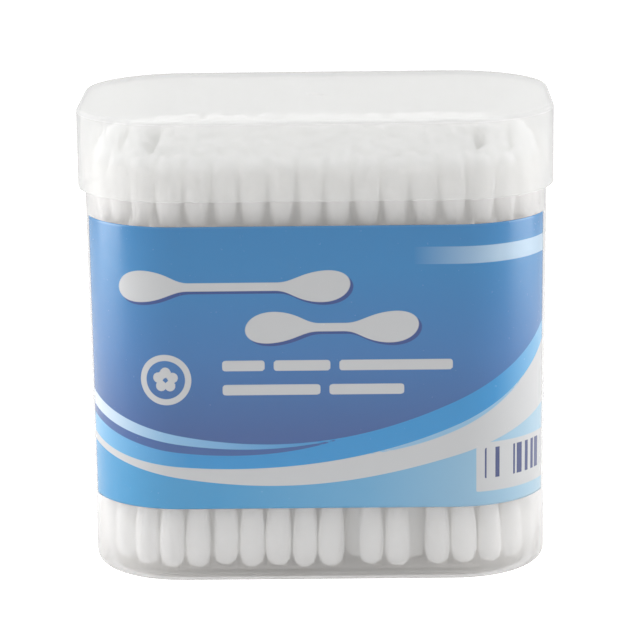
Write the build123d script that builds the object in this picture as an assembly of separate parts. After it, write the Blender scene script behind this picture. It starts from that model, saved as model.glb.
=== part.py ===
"""Canister of cotton swabs: a drafted clear tub full of swabs, a snap lid and a front label.

Millimetres, +Z up. The origin is the middle of the foot on the surface it stands on,
the wide sides run along X and the label faces -Y.
"""
import math
import os
import random

from build123d import *

# Tub: outside sizes at the rim, walls lean in by the draft from rim to foot. Its height follows the swabs
tub_width = 82.8
tub_depth = 53.0
tub_corner_radius = 17.0
tub_draft = 0.35
tub_wall = 0.8
floor_wall = 1.0
foot_rise = 0.9
foot_radius = 2.0
foot_ring_width = 1.6
tips_over_rim = 1.15

# Snap bead round the neck of the tub
bead_drop = 2.9
bead_height = 0.9
bead_proud = 0.25
bead_root = 0.1

# Lid: its skirt goes down outside the neck and a rib inside it sits on the rim
lid_overlap = 5.6
lid_headspace = 6.15
lid_bead_clearance = 0.3
lid_wall = 0.7
lid_top_wall = 0.9
lid_edge_radius = 0.8
lid_inner_radius = 0.3
lid_foot_chamfer = 0.35
lid_rib_height = 0.5
lid_rib_bearing = 0.3
gate_mark_radius = 1.4
gate_mark_depth = 0.25

# Label: a film round the front, its glue keeps it off the wall
label_bottom = 13.9
label_lid_margin = 4.5
label_film = 0.12
label_glue = 0.05
label_wrap_share = 0.66

# Swab: a stick with a wound cotton tip at each end
swab_length = 74.6
stick_diameter = 2.4
stick_in_tip = 9.0
tip_diameter = 4.55
tip_neck_diameter = 2.7
tip_length = 12.4
tip_nose_length = 2.7
tip_nose_flat = 0.4
nose_turn_share = 0.75
winding_clearance = 0.04

# Packing: two rings follow the wall, nested rows fill the middle
wall_clearance = 0.3
stand_clearance = 0.05
tip_clearance = 0.12
ring_clearance = 0.2
loose_room = 0.2
ring_start = -0.7
swab_rise = 0.6
ring_wobble_share = 0.2
nest_share = 0.5
row_wobble_share = 0.3
wide_gap_share = 0.33
wide_gap_reach_count = 12
wide_gap_counts = (1.5, 3.5)

overrun = 1.0

floor_height = foot_rise + floor_wall
lid_gap = bead_proud + lid_bead_clearance
tub_height = floor_height + stand_clearance + swab_length - tips_over_rim
lid_foot_height = tub_height - lid_overlap
lid_height = lid_overlap + tips_over_rim + swab_rise + lid_headspace + lid_top_wall
label_height = lid_foot_height - label_bottom - label_lid_margin
tip_pitch = tip_diameter + tip_clearance + loose_room


def tub_outline(height, offset):
    """Outline of the tub's outer wall at a height, moved outwards by an offset."""
    grow = offset - tub_draft * (tub_height - height) / tub_height
    outline = RectangleRounded(tub_width + 2 * grow, tub_depth + 2 * grow, tub_corner_radius + grow)
    return Plane.XY.offset(height) * outline


def tub_form(bottom, top, offset):
    """Solid inside the tub's drafted wall, moved outwards by an offset."""
    return loft([tub_outline(bottom, offset), tub_outline(top, offset)], ruled=True)


def lid_form(bottom, height, offset):
    """Straight solid on the rim's outline, moved outwards by an offset."""
    outline = RectangleRounded(tub_width + 2 * offset, tub_depth + 2 * offset, tub_corner_radius + offset)
    return extrude(Plane.XY.offset(bottom) * outline, height)


def bottom_edges(solid):
    return solid.edges().group_by(Axis.Z)[0]


def top_edges(solid):
    return solid.edges().group_by(Axis.Z)[-1]


def make_tub():
    """Thin drafted wall, a floor held up on a foot ring, and a snap bead round the neck."""
    body = tub_form(0, tub_height, 0)
    body = fillet(bottom_edges(body), foot_radius)
    cavity = tub_form(floor_height, tub_height + overrun, -tub_wall)
    cavity = fillet(bottom_edges(cavity), foot_radius - tub_wall)
    recess = extrude(tub_outline(0, -foot_radius - foot_ring_width), foot_rise)

    bead_foot = tub_height - bead_drop - bead_height / 2 - bead_root
    bead = lid_form(bead_foot, bead_height + 2 * bead_root, bead_proud)
    bead = chamfer(bottom_edges(bead) + top_edges(bead), bead_proud + bead_root)
    return body + bead - cavity - recess


def make_lid():
    """Flat-topped cap with a stop rib on the rim and the mould's gate mark in its top."""
    cap = lid_form(lid_foot_height, lid_height, lid_gap + lid_wall)
    cap = fillet(top_edges(cap), lid_edge_radius)
    cap = chamfer(bottom_edges(cap), lid_foot_chamfer)
    hollow = lid_form(lid_foot_height, lid_height - lid_top_wall, lid_gap)
    hollow = fillet(top_edges(hollow), lid_inner_radius)

    rib = lid_form(tub_height, lid_rib_height, lid_gap + lid_wall / 2)
    rib -= lid_form(tub_height, lid_rib_height, -lid_rib_bearing)
    lid_top = lid_foot_height + lid_height
    gate_mark = Pos(0, 0, lid_top) * Cylinder(gate_mark_radius, 2 * gate_mark_depth)
    return cap - hollow + rib - gate_mark


def make_label():
    """Film on the front wall, its ends part of the way round the front corners."""
    label_top = label_bottom + label_height
    film = tub_form(label_bottom, label_top, label_glue + label_film)
    film -= tub_form(label_bottom - overrun, label_top + overrun, label_glue)
    corner_middle = tub_depth / 2 - tub_corner_radius
    end = corner_middle + tub_corner_radius * (1 - label_wrap_share)
    reach = tub_depth
    front = Pos(0, -end - reach / 2, label_bottom + label_height / 2)
    return film & front * Box(2 * tub_width, reach, 2 * label_height)


def make_tip():
    """Wound cotton that swells in an arc from the stick to a nose of two arcs, with a hole for the stick."""
    hole = stick_diameter / 2 + winding_clearance
    neck = tip_neck_diameter / 2
    widest = tip_diameter / 2
    shoulder = tip_length - tip_nose_length
    hole_end = stick_in_tip + winding_clearance
    turn = (nose_turn_share * widest, shoulder + tip_nose_length * math.sqrt(1 - nose_turn_share**2))
    side = TangentArc((widest, shoulder), turn, tangent=(0, 1))
    outline = [
        Line((hole, 0), (neck, 0)),
        TangentArc((widest, shoulder), (neck, 0), tangent=(0, -1)),
        side,
        TangentArc(turn, (tip_nose_flat, tip_length), tangent=side % 1),
        Line((tip_nose_flat, tip_length), (0, tip_length)),
        Line((0, tip_length), (0, hole_end)),
        Line((0, hole_end), (hole, hole_end)),
        Line((hole, hole_end), (hole, 0)),
    ]
    return revolve(Plane.XZ * make_face(Curve() + outline), Axis.Z).solid()


def make_stick():
    length = swab_length - 2 * (tip_length - stick_in_tip)
    return Cylinder(stick_diameter / 2, length).solid()


def ring_point(distance, half_width, half_depth, radius):
    """Place on a rounded rectangle, a distance from the middle of its front towards +X."""
    flat = half_width - radius
    side = half_depth - radius
    turn = radius * math.pi / 2
    quarter = flat + turn + side
    quarter_number, along = divmod(distance % (4 * quarter), quarter)
    if quarter_number in (1, 3):
        along = quarter - along
    if along < flat:
        x, y = along, -half_depth
    elif along < flat + turn:
        angle = (along - flat) / radius
        x, y = flat + radius * math.sin(angle), -side - radius * math.cos(angle)
    else:
        x, y = half_width, along - flat - turn - side
    return (x if quarter_number < 2 else -x), (-y if quarter_number in (1, 2) else y)


def room_at(inset):
    """Half sizes and corner radius of the floor, drawn in from the inner wall by an inset."""
    grow = -tub_wall - tub_draft - inset
    return tub_width / 2 + grow, tub_depth / 2 + grow, max(tub_corner_radius + grow, 0)


def ring_swabs(inset, start_share, gap_counts, chance):
    """Foot and head of each swab in a ring along the wall, wider apart at the feet by each gap.

    The first swab stands a share of the pitch past the start.
    """
    room = room_at(inset)
    half_width, half_depth, radius = room
    ring_length = 4 * (half_width + half_depth) - (8 - 2 * math.pi) * radius
    count = int(ring_length / tip_pitch)
    pitch = ring_length / count
    slack = pitch - tip_diameter - tip_clearance
    wobble = ring_wobble_share * slack
    spread = wide_gap_share * slack * wide_gap_reach_count
    swabs = []
    for number in range(count):
        seat = number if number < count / 2 else number - count
        stand = ring_start + (seat + start_share) * pitch
        shift = 0
        for gap in gap_counts:
            nearness = max(0, 1 - abs(seat - gap) / wide_gap_reach_count)
            shift += math.copysign(spread * nearness, seat - gap)
        head = stand + wobble * chance.uniform(-1, 1)
        foot = stand + shift + wobble * chance.uniform(-1, 1)
        swabs.append((ring_point(foot, *room), ring_point(head, *room)))
    return swabs


def row_swabs(inset, chance):
    """Rows of swabs across the middle, odd and even counts in turn so that they nest."""
    half_width, half_depth, radius = room_at(inset)
    row_count = int(2 * half_depth / (tip_pitch * math.sqrt(3) / 2)) + 1
    row_pitch = 2 * half_depth / (row_count - 1)
    wobble = row_wobble_share * (tip_pitch - tip_diameter - tip_clearance)
    rows = []
    for row in range(row_count):
        y = row * row_pitch - half_depth
        into_corner = max(0, abs(y) - (half_depth - radius))
        half_length = half_width - radius + math.sqrt(max(0, radius**2 - into_corner**2))
        count = int(2 * half_length / tip_pitch) + 1
        if count % 2 == row % 2:
            count -= 1
        swabs = []
        for number in range(count):
            x = (number - (count - 1) / 2) * tip_pitch
            foot = (x + wobble * chance.uniform(-1, 1), y + wobble * chance.uniform(-1, 1))
            head = (x + wobble * chance.uniform(-1, 1), y + wobble * chance.uniform(-1, 1))
            swabs.append((foot, head))
        rows.append(swabs)
    return rows


def place_swabs(swabs, stick, tip, chance):
    """Sticks and tips of one group of swabs, each along its own line from foot to head."""
    sticks = []
    tips = []
    for foot, head in swabs:
        bottom = floor_height + stand_clearance + swab_rise * chance.random()
        lean_x = head[0] - foot[0]
        lean_y = head[1] - foot[1]
        upright = math.sqrt(swab_length**2 - lean_x**2 - lean_y**2)
        stand = Plane((*foot, bottom), z_dir=(lean_x, lean_y, upright))
        low_tip = Pos(0, 0, tip_length) * Rot(180, 0, 0)
        high_tip = Pos(0, 0, swab_length - tip_length)
        sticks.append(stick.moved(stand.location * Pos(0, 0, swab_length / 2)))
        tips.append(tip.moved(stand.location * low_tip))
        tips.append(tip.moved(stand.location * high_tip))
    return Compound(sticks), Compound(tips)


outer_inset = wall_clearance + tip_diameter / 2
inner_inset = outer_inset + tip_diameter + ring_clearance
middle_inset = inner_inset + tip_diameter + ring_clearance

packing_chance = random.Random(7)
groups = {
    "outer_ring": ring_swabs(outer_inset, 0, wide_gap_counts, packing_chance),
    "inner_ring": ring_swabs(inner_inset, nest_share, (), packing_chance),
}
for row_number, row in enumerate(row_swabs(middle_inset, packing_chance), start=1):
    groups[f"row_{row_number}"] = row

nodes = {"tub": make_tub(), "lid": make_lid(), "label": make_label()}
one_stick = make_stick()
one_tip = make_tip()
for group, swabs in groups.items():
    group_sticks, group_tips = place_swabs(swabs, one_stick, one_tip, packing_chance)
    nodes[f"swab_sticks_{group}"] = group_sticks
    nodes[f"cotton_tips_{group}"] = group_tips

os.makedirs("parts", exist_ok=True)
for name, shape in nodes.items():
    export_step(shape, f"parts/{name}.step")
print(len(nodes), "nodes,", sum(len(swabs) for swabs in groups.values()), "swabs")
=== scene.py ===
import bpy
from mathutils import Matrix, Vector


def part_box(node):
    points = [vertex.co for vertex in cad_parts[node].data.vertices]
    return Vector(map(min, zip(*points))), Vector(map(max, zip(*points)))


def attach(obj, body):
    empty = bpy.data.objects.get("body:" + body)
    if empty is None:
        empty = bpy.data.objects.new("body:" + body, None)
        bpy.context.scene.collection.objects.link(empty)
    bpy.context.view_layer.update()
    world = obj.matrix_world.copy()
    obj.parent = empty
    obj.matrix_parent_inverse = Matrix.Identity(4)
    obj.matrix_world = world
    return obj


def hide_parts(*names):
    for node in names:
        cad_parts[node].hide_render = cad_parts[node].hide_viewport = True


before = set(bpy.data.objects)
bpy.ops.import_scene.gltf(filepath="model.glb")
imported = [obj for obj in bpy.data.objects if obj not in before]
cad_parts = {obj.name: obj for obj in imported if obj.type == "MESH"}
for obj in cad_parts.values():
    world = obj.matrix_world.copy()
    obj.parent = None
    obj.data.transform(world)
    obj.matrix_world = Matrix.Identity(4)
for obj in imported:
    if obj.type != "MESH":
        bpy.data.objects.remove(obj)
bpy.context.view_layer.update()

import math

import bpy
import numpy as np
from mathutils import Matrix, Vector

mm = 0.001
scene = bpy.context.scene
scene.view_settings.view_transform = "Standard"
print("frame loaded,", len(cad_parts), "nodes")


# sRGB hex to the linear colour that a shader socket takes
def linear(hexColour):
    srgb = np.array([int(hexColour[i:i + 2], 16) for i in (1, 3, 5)]) / 255
    low = srgb / 12.92
    high = ((srgb + 0.055) / 1.055) ** 2.4
    return (*np.where(srgb <= 0.04045, low, high).tolist(), 1.0)


# adds one node: settings are its properties, inputs maps a socket's name or number to a value or a link,
# and stops are the places and colours of a colour ramp
def addNode(tree, kind, inputs=None, stops=(), **settings):
    node = tree.nodes.new(kind)
    for name, value in settings.items():
        setattr(node, name, value)
    for socket, value in (inputs or {}).items():
        if isinstance(value, bpy.types.NodeSocket):
            tree.links.new(value, node.inputs[socket])
        else:
            node.inputs[socket].default_value = value
    if stops:
        node.color_ramp.elements.remove(node.color_ramp.elements[0])
    for number, (place, colour) in enumerate(stops):
        stop = node.color_ramp.elements[0] if number == 0 else node.color_ramp.elements.new(place)
        stop.position = place
        stop.color = colour
    return node


# an empty material with its Principled shader already linked to the output
def startMaterial(name):
    material = bpy.data.materials.new(name)
    material.use_nodes = True
    tree = material.node_tree
    tree.nodes.clear()
    shader = addNode(tree, "ShaderNodeBsdfPrincipled")
    addNode(tree, "ShaderNodeOutputMaterial", {"Surface": shader.outputs[0]})
    return material, tree, shader


# noise on Object coordinates with its grain given in millimetres along x, y and z
def grainNoise(tree, grain, detail):
    place = addNode(tree, "ShaderNodeTexCoord")
    scale = tuple(1 / (size * mm) for size in grain)
    mapped = addNode(tree, "ShaderNodeMapping", {"Vector": place.outputs["Object"], "Scale": scale})
    return addNode(tree, "ShaderNodeTexNoise",
                   {"Vector": mapped.outputs[0], "Scale": 1.0, "Detail": detail}).outputs["Fac"]


# puts arrays of points and faces into a mesh object with soft shading
def addSurface(name, points, faces, sharpAngle=40):
    mesh = bpy.data.meshes.new(name)
    mesh.from_pydata(np.asarray(points).reshape(-1, 3).tolist(), [], faces)
    mesh.polygons.foreach_set("use_smooth", np.ones(len(mesh.polygons), bool))
    mesh.set_sharp_from_angle(angle=math.radians(sharpAngle))
    mesh.update()
    piece = bpy.data.objects.new(name, mesh)
    scene.collection.objects.link(piece)
    return piece


# quads between neighbouring rings of a grid whose rings are closed
def ringQuads(rings, around):
    ring, step = np.meshgrid(np.arange(rings - 1), np.arange(around), indexing="ij")
    here = ring * around + step
    beside = ring * around + (step + 1) % around
    return np.stack([here, beside, beside + around, here + around], -1).reshape(-1, 4)


# triangles from one closed ring to a pole
def poleFan(firstPoint, around, pole, outwards):
    step = np.arange(around)
    here, beside = firstPoint + step, firstPoint + (step + 1) % around
    fan = [here, beside, np.full(around, pole)]
    return np.stack(fan if outwards else fan[::-1], -1)


# gives a piece its material and its body, and hides the nodes that it stands for
def dress(piece, material, body, slot, *nodes):
    piece.data.materials.append(material)
    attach(piece, body)
    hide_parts(*nodes)


# tub: its wall is a rounded rectangle at the rim that draws in by the draft towards the foot
tub = dict(cornerRadius=17.0, draft=0.35, thickness=0.8, beadProud=0.25, beadHeight=0.9, beadDrop=2.9,
           footRadius=2.0, footRing=1.6, footRise=0.9, footBevel=0.15, floorWall=1.0, rimRound=0.22,
           flatSteps=12, sideSteps=6, cornerSteps=20, wallSteps=9, beadSteps=8,
           tint="#F0EEEC", solid=0.24, gloss=0.26)
tubHigh = np.array(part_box("tub")[1]) / mm
rimHeight = tubHigh[2]
rimHalf = tubHigh[:2] - tub["beadProud"]


# places and outward normals round the rim's outline, from the middle of the right side
def wallPath():
    radius = tub["cornerRadius"]
    flat, side = rimHalf - radius
    turn = np.linspace(0, np.pi / 2, tub["cornerSteps"] + 1)
    corners = [(flat, side), (-flat, side), (-flat, -side), (flat, -side)]
    gaps = [tub["flatSteps"], tub["sideSteps"]] * 2
    places, normals = [], []
    for number, corner in enumerate(corners):
        angle = turn + number * np.pi / 2
        normal = np.stack([np.cos(angle), np.sin(angle)], -1)
        arc = np.array(corner) + radius * normal
        following = np.array(corners[(number + 1) % 4]) + radius * normal[-1]
        share = np.linspace(0, 1, gaps[number] + 1)[1:-1, None]
        places += [arc, arc[-1] + share * (following - arc[-1])]
        normals += [normal, np.repeat(normal[-1:], len(share), 0)]
    return np.concatenate(places), np.concatenate(normals)


# how far the drafted wall lies inside the rim's outline at a height
def draftAt(height):
    return -tub["draft"] * (rimHeight - height) / rimHeight


# round stretch of a profile: offsets and heights from one angle to another about a middle
def roundOff(offset, height, radius, fromDeg, toDeg, steps):
    angle = np.radians(np.linspace(fromDeg, toDeg, steps + 1))
    return np.stack([offset + radius * np.cos(angle), height + radius * np.sin(angle)], -1)


# shell: each profile point (offset, height) is the rim's outline moved along its normals, so the
# surface is outline + normal * offset. The ends run in to a pole each, over shrunken outlines.
def sweepShell(name, profile, firstPole, lastPole, lastRings=None):
    places, normals = wallPath()
    around = len(places)
    flatRings = places + normals * profile[:, None, :1]
    shrinkShares = np.array([0.3, 0.65])[:, None, None]
    inRings = flatRings[0] * shrinkShares
    outRings = flatRings[-1] * shrinkShares[::-1]
    heights = np.concatenate([np.repeat(firstPole, len(inRings)), profile[:, 1],
                              np.repeat(lastPole, len(outRings))])
    rings = np.concatenate([inRings, flatRings, outRings])
    if lastRings is not None:
        angle = np.arctan2(places[:, 1], places[:, 0])
        circle = np.stack([np.cos(angle), np.sin(angle)], -1)
        rings = np.concatenate([rings, circle * lastRings[:, None, :1]])
        heights = np.concatenate([heights, lastRings[:, 1]])
        lastPole = lastRings[-1, 1]
    upright = np.repeat(heights[:, None], around, 1)[..., None]
    points = np.concatenate([rings, upright], -1).reshape(-1, 3)
    poles = np.array([[0, 0, firstPole], [0, 0, lastPole]])
    count = len(points)
    faces = ringQuads(len(rings), around).tolist()
    faces += poleFan(0, around, count, False).tolist()
    faces += poleFan(count - around, around, count + 1, True).tolist()
    return addSurface(name, np.concatenate([points, poles]) * mm, faces)


# natural polypropylene, injection moulded: milky, so a thin wall lets part of the light straight through
# and scatters the rest, with a soft gloss and faint flow waves
def milkyPlastic(name, tint, solid, gloss, haze=0.015):
    material, tree, shader = startMaterial(name)
    flow = grainNoise(tree, grain=(9, 9, 14), detail=1.0)
    fine = grainNoise(tree, grain=(0.6, 0.6, 0.6), detail=2.0)
    bump = addNode(tree, "ShaderNodeBump", {"Height": flow, "Strength": 0.25, "Distance": 0.12 * mm})
    rough = addNode(tree, "ShaderNodeMapRange",
                    {"Value": fine, "To Min": gloss - haze, "To Max": gloss + haze})
    shader.inputs["Base Color"].default_value = linear(tint)
    shader.inputs["Alpha"].default_value = solid
    shader.inputs["IOR"].default_value = 1.49
    shader.inputs["Subsurface Weight"].default_value = 0.9
    shader.inputs["Subsurface Radius"].default_value = (1.0, 1.0, 1.0)
    shader.inputs["Subsurface Scale"].default_value = 1.2 * mm
    tree.links.new(rough.outputs[0], shader.inputs["Roughness"])
    tree.links.new(bump.outputs[0], shader.inputs["Normal"])
    return material


# tub profile from the middle of the recess under the floor, out over the foot ring, up the wall
# with its half-round snap bead, over the rim, and down inside to the floor
def buildTub():
    foot, bevel = tub["footRadius"], tub["footBevel"]
    thickness, lip = tub["thickness"], tub["rimRound"]
    innerFoot = foot - thickness
    floorTop = tub["footRise"] + tub["floorWall"]
    recess = draftAt(0) - foot - tub["footRing"]
    swell = np.linspace(0, 1, tub["beadSteps"] + 1)
    beadAt = rimHeight - tub["beadDrop"] + (swell - 0.5) * tub["beadHeight"]
    bead = np.stack([draftAt(beadAt) + tub["beadProud"] * np.sin(np.pi * swell), beadAt], -1)
    wallUp = np.linspace(foot, beadAt[0], tub["wallSteps"] + 1)[1:-1]
    wallDown = np.linspace(rimHeight, floorTop + foot, tub["wallSteps"] + 1)[1:-1]
    profile = np.concatenate([
        [[recess, tub["footRise"]], [recess, bevel], [recess + bevel, 0]],
        roundOff(draftAt(0) - foot, foot, foot, -90, 0, 8),
        np.stack([draftAt(wallUp), wallUp], -1),
        bead,
        roundOff(-lip, rimHeight - lip, lip, 0, 90, 5),
        roundOff(-thickness + lip, rimHeight - lip, lip, 90, 180, 5),
        np.stack([draftAt(wallDown) - thickness, wallDown], -1),
        roundOff(draftAt(floorTop) - thickness - innerFoot, floorTop + innerFoot, innerFoot, 0, -90, 6),
    ])
    shell = sweepShell("tubShell", profile, tub["footRise"], floorTop)
    plastic = milkyPlastic("tubPolypropylene", tub["tint"], tub["solid"], tub["gloss"])
    dress(shell, plastic, "tub", "clear_plastic", "tub")
    print("tub built,", len(shell.data.polygons), "faces")


# lid: loop is how far a row of points stands from the skirt's ends, to keep its shading even, panelDrop is
# how far under the top panel its milkier plastic starts, and gateShares are radius and depth of each ring
# the top panel's greyer tint is painted shade that holds the top lamp's light on it down to the skirt's level
lid = dict(thickness=0.7, topWall=0.9, edgeRadius=0.8, innerRadius=0.3, footRound=0.3, footBevel=0.1,
           loop=4.0, ribHeight=0.5, ribDepth=0.85, ribBlunt=0.7, ribSteps=8, gateRadius=1.5, gateDepth=0.22,
           gateShares=[(2.2, 0), (1.15, 0), (1, 0.25), (0.75, 1), (0.4, 1)], panelDrop=0.1,
           tint="#F5F5F3", solid=0.23, gloss=0.5, panelShadedTint="#EAEAE9", panelSolid=0.34)
lidLow, lidHigh = [np.array(corner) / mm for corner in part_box("lid")]


# lid profile from the middle of its underside, down the skirt past the stop rib, round the foot,
# up outside and over the top edge, then in to the round gate mark in the middle of the top
def buildLid():
    outside = lidHigh[0] - rimHalf[0]
    inside = outside - lid["thickness"]
    top, foot, under = lidHigh[2], lidLow[2], lidHigh[2] - lid["topWall"]
    edge, innerEdge = lid["edgeRadius"], lid["innerRadius"]
    footRound, loop = lid["footRound"], lid["loop"]
    swell = np.linspace(1, 0, lid["ribSteps"] + 1)
    rib = np.stack([inside - lid["ribDepth"] * np.sin(np.pi * swell) ** lid["ribBlunt"],
                    rimHeight + lid["ribHeight"] * swell], -1)
    profile = np.concatenate([
        roundOff(inside - innerEdge, under - innerEdge, innerEdge, 90, 0, 5),
        rib,
        [[inside, foot + footRound], [inside + lid["footBevel"], foot]],
        roundOff(outside - footRound, foot + footRound, footRound, -90, 0, 4),
        [[outside, foot + loop], [outside, top - edge - loop]],
        roundOff(outside - edge, top - edge, edge, 0, 90, 8),
    ])
    across, sunk = np.transpose(lid["gateShares"])
    gateRings = np.stack([lid["gateRadius"] * across, top - lid["gateDepth"] * sunk], -1)
    shell = sweepShell("lidShell", profile, under, top, gateRings)
    plastic = milkyPlastic("lidPolypropylene", lid["tint"], lid["solid"], lid["gloss"])
    dress(shell, plastic, "lid", "clear_lid_plastic", "lid")
    panel = milkyPlastic("lidTopShadedPolypropylene", lid["panelShadedTint"], lid["panelSolid"], lid["gloss"])
    shell.data.materials.append(panel)                    # the top panel is thicker, so it is milkier; its greyer tint is painted shade against the top lamp
    height = np.array([face.center.z for face in shell.data.polygons]) / mm
    shell.data.polygons.foreach_set("material_index", (height > under - lid["panelDrop"]).astype(int))
    print("lid built,", len(shell.data.polygons), "faces")


# label: sizes of the print in millimetres, s along the film from the middle and h up from its foot
label = dict(
    film=0.12, step=0.4, edge=0.05,
    curves=dict(                                          # points (s, h) that a boundary passes near
        deepField=[(-45, 19.6), (-38, 17.3), (-25, 13.4), (-7, 12.0),
                   (6, 13.3), (18, 16.6), (33, 24.0), (44, 31.0)],
        whiteTop=[(-45, 11.9), (-31.5, 8.7), (-22, 7.5), (-13.5, 7.3),
                  (0, 8.4), (18, 12.5), (33, 19.4), (44, 27.4)],
        whiteFoot=[(-45, 10.3), (-35, 8.0), (-25, 5.7), (-16, 4.4),
                   (-7, 4.2), (9, 5.8), (27, 10.2), (44, 16.2)],
    ),
    curveOrder=4,
    paleStripe=dict(depth=2.6, end=5, run=50, power=0.9),
    darkStripe=dict(depth=1.6, end=4, run=32, power=0.6),
    whiteEdge=dict(depth=0.9, start=8, run=32),
    figures=[(-35.5, 6.0, 40.6), (-12.5, 18.0, 33.2)],    # from s, to s, middle h
    figure=dict(size=3.1, lean=0.22, barShare=0.24, cornerShare=0.1, eggShare=1.8, blendShare=0.4,
                girth=0.9, slimming=0.2, shade=(0.55, -0.5)),
    dashes=[(-16.7, -9.2, 26.3), (-7.6, 2.4, 26.3), (4.0, 24.0, 26.3), (-16.7, 0.6, 21.9), (2.2, 15.4, 21.9)],
    dashHalf=0.95, dashCorner=0.5,
    badge=dict(s=-26.8, h=23.8, radius=4.6, ring=1.1, petal=0.95, petalAt=1.35, petals=5),
    boxes=dict(                                           # from s, how far past the end, from h, to h, corner
        topStrip=(17, 5, 44.4, 47.5, 0.1),
        barPanel=(28.2, 5, 2.6, 11.6, 0.3),
        barInk=(29.8, -1.2, 5.0, 10.6, 0.05),
    ),
    stripFade=(0.69, 0.86), barsAlong=210.0, barGaps=0.48,
    blends=dict(                                          # the field's goes up the film, the others along it
        field=[(0.26, "deep"), (0.55, "half"), (0.85, "sky")],
        # towards the film's ends the blues turn pale with painted glare of the side lamps
        belowDeep=[(0.02, "midGlare"), (0.25, "mid"), (0.85, "mid"), (0.98, "midGlare")],
        paleStripe=[(0.02, "paleGlare"), (0.2, "pale"), (0.45, "paleTip")],
        lowBand=[(0.3, "low"), (0.6, "lowHalf"), (0.95, "lowGlare")],
    ),
    colours=dict(
        # midGlare, paleGlare and lowGlare are the print's blues paled with painted glare of the side lamps
        sky="#3187C4", half="#3678B8", deep="#345B9C", mid="#2495D6", midGlare="#76BCE8", paleGlare="#DEEAF4",
        pale="#94C6EC", paleTip="#489AD4", dark="#345EA0", white="#D2D3D4", edge="#93C2E2", low="#3C9DD4",
        lowHalf="#6CB0DA", lowGlare="#ACCEE2", strip="#B9D4EA", shade="#2B4A8E", bar="#404C80",
    ),
)
labelLow, labelHigh = [np.array(corner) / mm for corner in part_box("label")]


# signed distance to a box with round corners, negative inside
def roundBox(s, h, sFrom, sTo, hFrom, hTo, radius):
    across = np.abs(s - (sFrom + sTo) / 2) - (sTo - sFrom) / 2 + radius
    upward = np.abs(h - (hFrom + hTo) / 2) - (hTo - hFrom) / 2 + radius
    outer = np.hypot(np.maximum(across, 0), np.maximum(upward, 0))
    return outer + np.minimum(np.maximum(across, upward), 0) - radius


# plain figure of a swab lying along s, a bar that flows into an egg at each end, leaning like slanted print:
# a smooth minimum of the distances to the bar and to both eggs, negative inside
def swabFigure(s, h, sFrom, sTo, middle):
    shape = label["figure"]
    size = shape["size"]
    half, corner = shape["barShare"] * size, shape["cornerShare"] * size
    egg, blend = shape["eggShare"] * size, shape["blendShare"] * size
    s = s - shape["lean"] * (h - middle)
    figure = roundBox(s, h, sFrom + size, sTo - size, middle - half, middle + half, corner)
    for end, way in ((sFrom, 1), (sTo, -1)):
        along = (s - end - way * egg) / egg
        girth = size * (shape["girth"] - shape["slimming"] * way * along)
        bulb = (np.hypot(along, (h - middle) / girth) - 1) * size
        share = np.clip(0.5 + (bulb - figure) / (2 * blend), 0, 1)
        figure = bulb + share * (figure - bulb) - blend * share * (1 - share)
    return figure


# depth of a stripe that thins out towards its end
def stripeDepth(s, depth, end, run, power):
    return depth * np.clip((end - s) / run, 0, 1) ** power


# fields of the print as signed distances in mm, positive inside, worked out on the whole grid.
# A boundary is a smooth curve h(s) fitted to a few points.
def printFields(s, h, reach):
    curve = {name: np.polyval(np.polyfit(*np.transpose(points), label["curveOrder"]), s)
             for name, points in label["curves"].items()}
    deep, white, whiteFoot = curve["deepField"], curve["whiteTop"], curve["whiteFoot"]
    paleFoot = deep - stripeDepth(s, **label["paleStripe"])
    darkFoot = paleFoot - stripeDepth(s, **label["darkStripe"])
    rim = label["whiteEdge"]
    edgeFoot = white - rim["depth"] * np.sin(np.pi * np.clip((s - rim["start"]) / rim["run"], 0, 1))

    figures = np.minimum.reduce([swabFigure(s, h, *figure) for figure in label["figures"]])
    sShade, hShade = s - label["figure"]["shade"][0], h - label["figure"]["shade"][1]
    shades = np.minimum.reduce([swabFigure(sShade, hShade, *figure) for figure in label["figures"]])
    half, corner = label["dashHalf"], label["dashCorner"]
    dashes = [roundBox(s, h, sFrom, sTo, middle - half, middle + half, corner)
              for sFrom, sTo, middle in label["dashes"]]
    badge = label["badge"]
    sBadge, hBadge, at = s - badge["s"], h - badge["h"], badge["petalAt"]
    ring = np.abs(np.hypot(sBadge, hBadge) - badge["radius"] + badge["ring"] / 2) - badge["ring"] / 2
    turns = np.arange(badge["petals"]) * 2 * np.pi / badge["petals"] + np.pi / 2
    petals = [np.hypot(sBadge - at * np.cos(turn), hBadge - at * np.sin(turn)) - badge["petal"]
              for turn in turns]
    boxes = {name: -roundBox(s, h, sFrom, reach + past, hFrom, hTo, radius)
             for name, (sFrom, past, hFrom, hTo, radius) in label["boxes"].items()}
    return dict(
        belowDeep=deep - h,
        paleStripe=np.minimum(deep - h, h - paleFoot),
        darkStripe=np.minimum(paleFoot - h, h - darkFoot),
        whiteSwoosh=np.minimum(white - h, h - whiteFoot),
        whiteEdge=np.minimum(white - h, h - edgeFoot),
        lowBand=whiteFoot - h,
        inkShade=-shades,
        whiteInk=-np.minimum.reduce([figures, ring, *petals, *dashes]),
        **boxes,
    )
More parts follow.
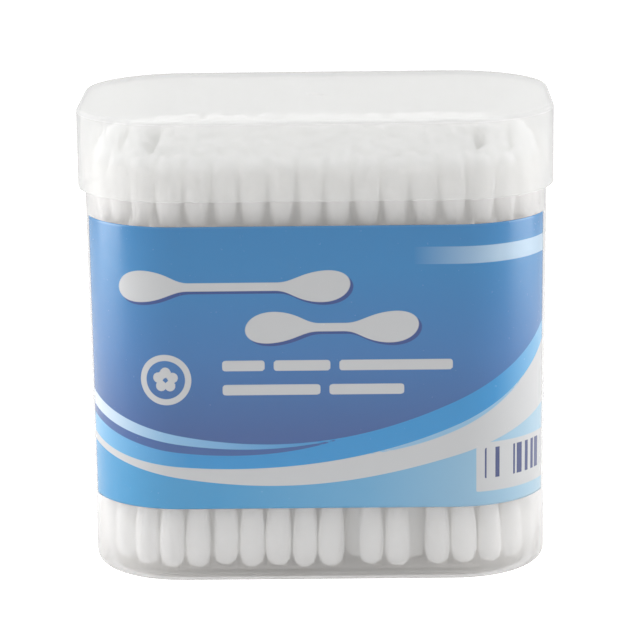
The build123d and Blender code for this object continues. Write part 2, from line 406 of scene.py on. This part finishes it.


# printed polypropylene film: flat inks, with painted glare at its ends, under a gloss varnish, with the faint
# ripple of a film on a wall
def printedFilm():
    material, tree, shader = startMaterial("printedFilm")
    flat = addNode(tree, "ShaderNodeUVMap", uv_map="film")
    split = addNode(tree, "ShaderNodeSeparateXYZ", {"Vector": flat.outputs[0]})
    along, upward = split.outputs[0], split.outputs[1]
    inks = {name: linear(colour) for name, colour in label["colours"].items()}
    blends = {}
    for name, stops in label["blends"].items():
        ramp = addNode(tree, "ShaderNodeValToRGB", {"Fac": upward if name == "field" else along},
                       [(place, inks[ink]) for place, ink in stops])
        blends[name] = ramp.outputs["Color"]

    fadeFrom, fadeTo = label["stripFade"]
    fade = addNode(tree, "ShaderNodeMapRange", {"Value": along, "From Min": fadeFrom, "From Max": fadeTo})
    barStep = addNode(tree, "ShaderNodeMath", {0: along, 1: label["barsAlong"]}, operation="MULTIPLY")
    barNumber = addNode(tree, "ShaderNodeMath", {0: barStep.outputs[0]}, operation="FLOOR")
    chance = addNode(tree, "ShaderNodeTexWhiteNoise", {"W": barNumber.outputs[0]}, noise_dimensions="1D")
    barOn = addNode(tree, "ShaderNodeMath", {0: chance.outputs["Value"], 1: label["barGaps"]},
                    operation="GREATER_THAN")
    partly = dict(topStrip=fade.outputs[0], barInk=barOn.outputs[0])

    layers = dict(                                        # each ink lies over those before it
        belowDeep=blends["belowDeep"], paleStripe=blends["paleStripe"], darkStripe=inks["dark"],
        whiteSwoosh=inks["white"], whiteEdge=inks["edge"], lowBand=blends["lowBand"], topStrip=inks["strip"],
        inkShade=inks["shade"], whiteInk=inks["white"], barPanel=inks["white"], barInk=inks["bar"],
    )
    colour = blends["field"]
    for field, ink in layers.items():
        value = addNode(tree, "ShaderNodeAttribute", attribute_name=field).outputs["Fac"]
        mask = addNode(tree, "ShaderNodeMapRange", {"Value": value, "From Min": -label["edge"],
                                                    "From Max": label["edge"]}).outputs[0]
        if field in partly:
            mask = addNode(tree, "ShaderNodeMath", {0: mask, 1: partly[field]},
                           operation="MULTIPLY").outputs[0]
        colour = addNode(tree, "ShaderNodeMix", {"Factor": mask, 6: colour, 7: ink},
                         data_type="RGBA").outputs[2]
    ripple = grainNoise(tree, grain=(14, 14, 10), detail=1.0)
    bump = addNode(tree, "ShaderNodeBump", {"Height": ripple, "Strength": 0.3, "Distance": 0.06 * mm})
    fine = grainNoise(tree, grain=(0.8, 0.8, 0.8), detail=2.0)
    rough = addNode(tree, "ShaderNodeMapRange", {"Value": fine, "To Min": 0.2, "To Max": 0.3})
    tree.links.new(colour, shader.inputs["Base Color"])
    tree.links.new(bump.outputs[0], shader.inputs["Normal"])
    tree.links.new(rough.outputs[0], shader.inputs["Roughness"])
    shader.inputs["Coat Weight"].default_value = 1.0
    shader.inputs["Coat Roughness"].default_value = 0.16
    return material


# the film's back is left unprinted: plain white, dull from the glue
def filmBack():
    material, tree, shader = startMaterial("filmBack")
    cloud = grainNoise(tree, grain=(3, 3, 3), detail=2.0)
    tone = addNode(tree, "ShaderNodeMix", {"Factor": cloud, 6: linear("#E8E9EA"), 7: linear("#F2F3F4")},
                   data_type="RGBA").outputs[2]
    tree.links.new(tone, shader.inputs["Base Color"])
    shader.inputs["Roughness"].default_value = 0.6
    return material


# label: a grid over s and h laid on the drafted wall, its ends part of the way round the corners
def buildLabel():
    radius = tub["cornerRadius"]
    flat, side = rimHalf - radius
    endAngle = math.acos((-labelHigh[1] - side) / radius)
    reach, height = flat + radius * endAngle, labelHigh[2] - labelLow[2]
    s, h = np.meshgrid(np.linspace(-reach, reach, int(2 * reach / label["step"]) + 1),
                       np.linspace(0, height, int(height / label["step"]) + 1), indexing="ij")
    z = labelLow[2] + h
    front = -labelLow[1] - rimHalf[1] - draftAt(labelHigh[2])      # film's outer face off the wall
    offset = draftAt(z) + front
    angle = np.sign(s) * np.maximum(np.abs(s) - flat, 0) / radius
    x = np.clip(s, -flat, flat) + (radius + offset) * np.sin(angle)
    y = -side - (radius + offset) * np.cos(angle)
    rows, columns = s.shape
    row, column = np.meshgrid(np.arange(rows - 1), np.arange(columns - 1), indexing="ij")
    here = row * columns + column
    quads = np.stack([here, here + columns, here + columns + 1, here + 1], -1).reshape(-1, 4)
    film = addSurface("labelFilm", np.stack([x, y, z], -1) * mm, quads.tolist())

    corner = np.zeros(len(film.data.loops), int)
    film.data.loops.foreach_get("vertex_index", corner)
    uv = np.stack([(s.ravel() + reach) / (2 * reach), h.ravel() / height], -1)[corner]
    film.data.uv_layers.new(name="film").data.foreach_set("uv", uv.ravel())
    for name, field in printFields(s, h, reach).items():
        film.data.attributes.new(name, "FLOAT", "POINT").data.foreach_set("value", field.ravel())
    body = film.modifiers.new("filmThickness", "SOLIDIFY")
    body.thickness = label["film"] * mm
    body.offset = -1
    body.material_offset = 1
    dress(film, printedFilm(), "tub", "label_film", "label")
    film.data.materials.append(filmBack())
    print("label built,", len(film.data.polygons), "faces")


# swabs: wound tips of soft fibre, uneven from swab to swab, whose heads end at uneven heights.
# ringShares are places along a tip from its nose, and waves are lobes round it, weight and twist.
swab = dict(tipLength=12.4, tipRadius=2.34, neckRadius=1.35, stickRadius=1.2, stickInTip=9.0, noseLength=2.7,
            noseBlunt=2.4, taper=3, around=10, ringShares=(0.015, 0.07, 0.21, 0.45, 0.72, 0.9, 1.0),
            waves=((2, 1.0, 3), (3, 0.7, -5)), uneven=0.02, fuller=0.03, sway=0.15, rise=0.4, sharpAngle=70,
            seed=11)


# first and last point of each stick's middle line, read from the loose parts of a CAD node
def stickLines(node):
    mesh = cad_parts[node].data
    corner = np.zeros(len(mesh.loops), int)
    mesh.loops.foreach_get("vertex_index", corner)
    place = np.zeros(len(mesh.vertices) * 3)
    mesh.vertices.foreach_get("co", place)
    place = place.reshape(-1, 3) / mm
    _, same = np.unique(np.round(place, 4), axis=0, return_inverse=True)
    triangles = same.ravel()[corner.reshape(-1, 3)]
    part = np.arange(same.max() + 1)
    while True:                                           # the lowest number spreads over each loose part
        lowest = np.repeat(part[triangles].min(1), 3)
        joined = part.copy()
        np.minimum.at(joined, triangles.ravel(), lowest)
        if (joined == part).all():
            break
        part = joined
    owner = part[same.ravel()]
    lines = []
    for number in np.unique(owner):
        stick = place[owner == number]
        upper = stick[:, 2] > stick[:, 2].mean()
        lines.append((stick[~upper].mean(0), stick[upper].mean(0)))
    return np.array(lines)


# cotton fibre wound on the stick: dull, soft white, light sinks in a little, faint streaks along the tip
def woundCotton():
    material, tree, shader = startMaterial("woundCotton")
    streak = grainNoise(tree, grain=(0.5, 0.5, 2.6), detail=3.0)
    clump = grainNoise(tree, grain=(1.6, 1.6, 2.2), detail=2.0)
    both = addNode(tree, "ShaderNodeMath", {0: streak, 1: clump}, operation="ADD").outputs[0]
    bump = addNode(tree, "ShaderNodeBump", {"Height": both, "Strength": 0.6, "Distance": 0.22 * mm})
    tone = addNode(tree, "ShaderNodeMix", {"Factor": clump, 6: linear("#F8F8F7"), 7: linear("#FEFEFD")},
                   data_type="RGBA").outputs[2]
    tree.links.new(tone, shader.inputs["Base Color"])
    tree.links.new(bump.outputs[0], shader.inputs["Normal"])
    shader.inputs["Roughness"].default_value = 0.95
    shader.inputs["Specular IOR Level"].default_value = 0.2
    shader.inputs["Sheen Weight"].default_value = 0.25
    shader.inputs["Sheen Roughness"].default_value = 0.6
    shader.inputs["Subsurface Weight"].default_value = 0.9
    shader.inputs["Subsurface Radius"].default_value = (1.0, 1.0, 1.0)
    shader.inputs["Subsurface Scale"].default_value = 0.8 * mm
    return material


# satin polypropylene stick: extruded, so its faint lines run along it
def stickPlastic():
    material, tree, shader = startMaterial("stickPolypropylene")
    lines = grainNoise(tree, grain=(0.3, 0.3, 30), detail=2.0)
    tone = addNode(tree, "ShaderNodeMix", {"Factor": lines, 6: linear("#F8F8F8"), 7: linear("#FEFEFE")},
                   data_type="RGBA").outputs[2]
    bump = addNode(tree, "ShaderNodeBump", {"Height": lines, "Strength": 0.3, "Distance": 0.03 * mm})
    rough = addNode(tree, "ShaderNodeMapRange", {"Value": lines, "To Min": 0.32, "To Max": 0.45})
    tree.links.new(tone, shader.inputs["Base Color"])
    tree.links.new(rough.outputs[0], shader.inputs["Roughness"])
    tree.links.new(bump.outputs[0], shader.inputs["Normal"])
    shader.inputs["Subsurface Weight"].default_value = 0.9
    shader.inputs["Subsurface Radius"].default_value = (1.0, 1.0, 1.0)
    shader.inputs["Subsurface Scale"].default_value = 2.5 * mm
    return material


# one tip per swab end: radius(t) along the axis is a blunt ellipse over the nose and an easy taper to the
# neck, times a slow wave round the axis. All tips of a group are worked out together.
def buildTips(group, material, chance):
    lines = stickLines("swab_sticks_" + group)
    axis = lines[:, 1] - lines[:, 0]
    axis /= np.linalg.norm(axis, axis=1)[:, None]
    length, stickRadius = swab["tipLength"], swab["stickRadius"]
    cover = length - swab["stickInTip"]
    higher = cover + swab["rise"] * chance.random((len(lines), 1))
    nose = np.concatenate([lines[:, 0] - axis * cover, lines[:, 1] + axis * higher])
    inward = np.concatenate([axis, -axis])
    count = len(nose)
    aside = np.cross(inward, (0, 1, 0))
    aside /= np.linalg.norm(aside, axis=1)[:, None]
    ahead = np.cross(inward, aside)

    share = np.array(swab["ringShares"])
    noseShare, blunt = swab["noseLength"] / length, swab["noseBlunt"]
    bow = np.clip(1 - (1 - np.minimum(share / noseShare, 1)) ** blunt, 0, 1) ** (1 / blunt)
    past = np.clip((share - noseShare) / (1 - noseShare), 0, 1)
    girth = swab["tipRadius"] * bow - (swab["tipRadius"] - swab["neckRadius"]) * past ** swab["taper"]
    theta = np.linspace(0, 2 * np.pi, swab["around"], endpoint=False)
    phase = chance.random((count, 4)) * 2 * np.pi
    wave = sum(weight * np.sin(lobes * theta + phase[:, number, None, None] + twist * share[:, None])
               for number, (lobes, weight, twist) in enumerate(swab["waves"]))
    fullness = 1 + swab["fuller"] * np.sin(phase[:, 2])
    radius = girth[:, None] * fullness[:, None, None] * (1 + swab["uneven"] * wave)
    radius[:, -1] = stickRadius
    sway = swab["sway"] * np.sin(np.pi * share) * np.sin(phase[:, 3:4])
    spin = np.cos(theta)[:, None] * aside[:, None, None] + np.sin(theta)[:, None] * ahead[:, None, None]
    centre = nose[:, None] + inward[:, None] * (share * length)[:, None]
    centre += aside[:, None] * sway[..., None]
    rings = centre[:, :, None] + spin * radius[..., None]

    around, along = swab["around"], len(share)
    ringPoints = rings.reshape(count, -1, 3)
    points = np.concatenate([ringPoints, nose[:, None], (nose + inward * length)[:, None]], 1)
    each = points.shape[1]
    quads = ringQuads(along, around)
    fans = np.concatenate([poleFan(0, around, each - 2, False),
                           poleFan((along - 1) * around, around, each - 1, True)])
    shift = np.arange(count)[:, None, None] * each
    faces = (quads + shift).reshape(-1, 4).tolist() + (fans + shift).reshape(-1, 3).tolist()
    tips = addSurface("cottonTips_" + group, points * mm, faces, swab["sharpAngle"])
    dress(tips, material, "tub", "cotton", "cotton_tips_" + group)
    return count


def buildSwabs():
    chance = np.random.default_rng(swab["seed"])
    cotton, plastic = woundCotton(), stickPlastic()
    total = 0
    for node in sorted(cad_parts):
        if node.startswith("swab_sticks_"):
            total += buildTips(node[len("swab_sticks_"):], cotton, chance)
            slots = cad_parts[node].data.materials
            slots.clear()
            slots.append(plastic)
    print("swabs built,", total, "tips")


# camera: a long lens a little above the lid, nearly square on
view = dict(elevation=13.389, azimuth=0.744, roll=-0.718, distance=576.46, target=42.0, focalPx=3123.6,
            imagePx=640, middlePx=(-1.854, 0.528), sensor=36.0, near=0.01, far=20)


def setCamera():
    tilt, turn, roll = (math.radians(view[key]) for key in ("elevation", "azimuth", "roll"))
    back = Vector((math.sin(turn) * math.cos(tilt), -math.cos(turn) * math.cos(tilt), math.sin(tilt)))
    right = Vector((math.cos(turn), math.sin(turn), 0))
    up = back.cross(right)
    right, up = (right * math.cos(roll) + up * math.sin(roll), up * math.cos(roll) - right * math.sin(roll))
    lens = bpy.data.cameras.new("camera")
    lens.sensor_width = view["sensor"]
    lens.lens = view["focalPx"] * view["sensor"] / view["imagePx"]
    lens.shift_x = -view["middlePx"][0] / view["imagePx"]
    lens.shift_y = view["middlePx"][1] / view["imagePx"]
    lens.clip_start, lens.clip_end = view["near"], view["far"]
    camera = bpy.data.objects.new("camera", lens)
    eye = Vector((0, 0, view["target"])) + back * view["distance"]
    turned = Matrix((right, up, back)).transposed().to_4x4()
    camera.matrix_world = Matrix.Translation(eye * mm) @ turned
    scene.collection.objects.link(camera)
    scene.camera = camera
    print("camera set")


# studio: two tall soft boxes at the sides, a broad one above and a little behind, and a white room
studio = dict(room=0.5, inside=0.63, through=0.95, back=0.45, backFrom=-0.5, backTo=1.0,
              floorSize=1.6, floorTint="#F6F6F6", floorGlow=0.85,
              bounces=64, softBounces=40, clearBounces=64)
lamps = dict(
    left=dict(place=(-330, 0, 130), aim=(0, 0, 45), size=(230, 280), power=0.64),
    right=dict(place=(330, 0, 130), aim=(0, 0, 45), size=(230, 280), power=0.5),
    top=dict(place=(0, 40, 420), aim=(0, 0, 40), size=(420, 320), power=0.93),
)


# 1 on a ray that goes from the eye past the object, with nothing clear in its way
def bareSight(tree, path):
    return addNode(tree, "ShaderNodeMath", {0: path["Is Camera Ray"], 1: path["Transparent Depth"]},
                   operation="SUBTRACT", use_clamp=True).outputs[0]


# how bright the room is to a ray: white to the eye, a little less in a gloss or through the plastic,
# dim on bare surfaces, which the lamps light, brighter on what stands behind the plastic, and it falls
# off towards the back of the room
def roomStrength(tree):
    path = addNode(tree, "ShaderNodeLightPath").outputs
    behind = addNode(tree, "ShaderNodeMath", {0: path["Transparent Depth"], 1: path["Transmission Depth"]},
                     operation="ADD", use_clamp=True).outputs[0]
    level = addNode(tree, "ShaderNodeMapRange", {"Value": behind, "To Min": studio["room"],
                                                 "To Max": studio["inside"]}).outputs[0]
    way = addNode(tree, "ShaderNodeTexCoord").outputs["Generated"]
    depth = addNode(tree, "ShaderNodeSeparateXYZ", {"Vector": way}).outputs[1]
    falloff = addNode(tree, "ShaderNodeMapRange", {
        "Value": depth, "From Min": studio["backFrom"], "From Max": studio["backTo"],
        "To Min": 1.0, "To Max": studio["back"]}).outputs[0]
    level = addNode(tree, "ShaderNodeMath", {0: level, 1: falloff}, operation="MULTIPLY").outputs[0]
    seen = path["Is Camera Ray"]
    for ray in ("Is Glossy Ray", "Is Transmission Ray"):
        seen = addNode(tree, "ShaderNodeMath", {0: seen, 1: path[ray]}, operation="MAXIMUM").outputs[0]
    seen = addNode(tree, "ShaderNodeMath", {0: seen, 1: path["Diffuse Depth"]},
                   operation="SUBTRACT", use_clamp=True).outputs[0]
    level = addNode(tree, "ShaderNodeMapRange", {"Value": seen, "To Min": level,
                                                 "To Max": studio["through"]}).outputs[0]
    return addNode(tree, "ShaderNodeMath", {0: level, 1: bareSight(tree, path)},
                   operation="MAXIMUM").outputs[0]


def buildStudio():
    scene.cycles.max_bounces = studio["bounces"]          # white cotton behind clear walls needs many bounces
    scene.cycles.diffuse_bounces = studio["softBounces"]
    scene.cycles.transmission_bounces = studio["bounces"]
    scene.cycles.transparent_max_bounces = studio["clearBounces"]
    for name, lamp in lamps.items():
        light = bpy.data.lights.new(name, "AREA")
        light.shape = "RECTANGLE"
        light.size, light.size_y = (side * mm for side in lamp["size"])
        light.energy = lamp["power"]
        place, aim = Vector(lamp["place"]) * mm, Vector(lamp["aim"]) * mm
        box = bpy.data.objects.new(name, light)
        box.location = place
        box.rotation_euler = (aim - place).to_track_quat("-Z", "Y").to_euler()
        scene.collection.objects.link(box)

    world = bpy.data.worlds.new("whiteRoom")
    scene.world = world
    world.use_nodes = True
    tree = world.node_tree
    tree.nodes.clear()
    glow = addNode(tree, "ShaderNodeBackground", {"Color": (1, 1, 1, 1), "Strength": roomStrength(tree)})
    addNode(tree, "ShaderNodeOutputWorld", {"Surface": glow.outputs[0]})

    half = studio["floorSize"] / 2
    mesh = bpy.data.meshes.new("floor")
    mesh.from_pydata([(-half, -half, 0), (half, -half, 0), (half, half, 0), (-half, half, 0)], [],
                     [(0, 1, 2, 3)])
    floor = bpy.data.objects.new("floor", mesh)
    scene.collection.objects.link(floor)
    mesh.materials.append(paleFloor())
    print("studio built")


# matt white card under the object: it glows only to the eye, so that it meets the white room unseen
def paleFloor():
    material, tree, shader = startMaterial("paleFloor")
    path = addNode(tree, "ShaderNodeLightPath").outputs
    shine = addNode(tree, "ShaderNodeMapRange", {"Value": bareSight(tree, path), "To Min": 0.0,
                                                 "To Max": studio["floorGlow"]}).outputs[0]
    shader.inputs["Base Color"].default_value = linear(studio["floorTint"])
    shader.inputs["Roughness"].default_value = 0.9
    shader.inputs["Emission Color"].default_value = (1, 1, 1, 1)
    tree.links.new(shine, shader.inputs["Emission Strength"])
    return material


setCamera()
buildStudio()
buildTub()
buildLid()
buildLabel()
buildSwabs()
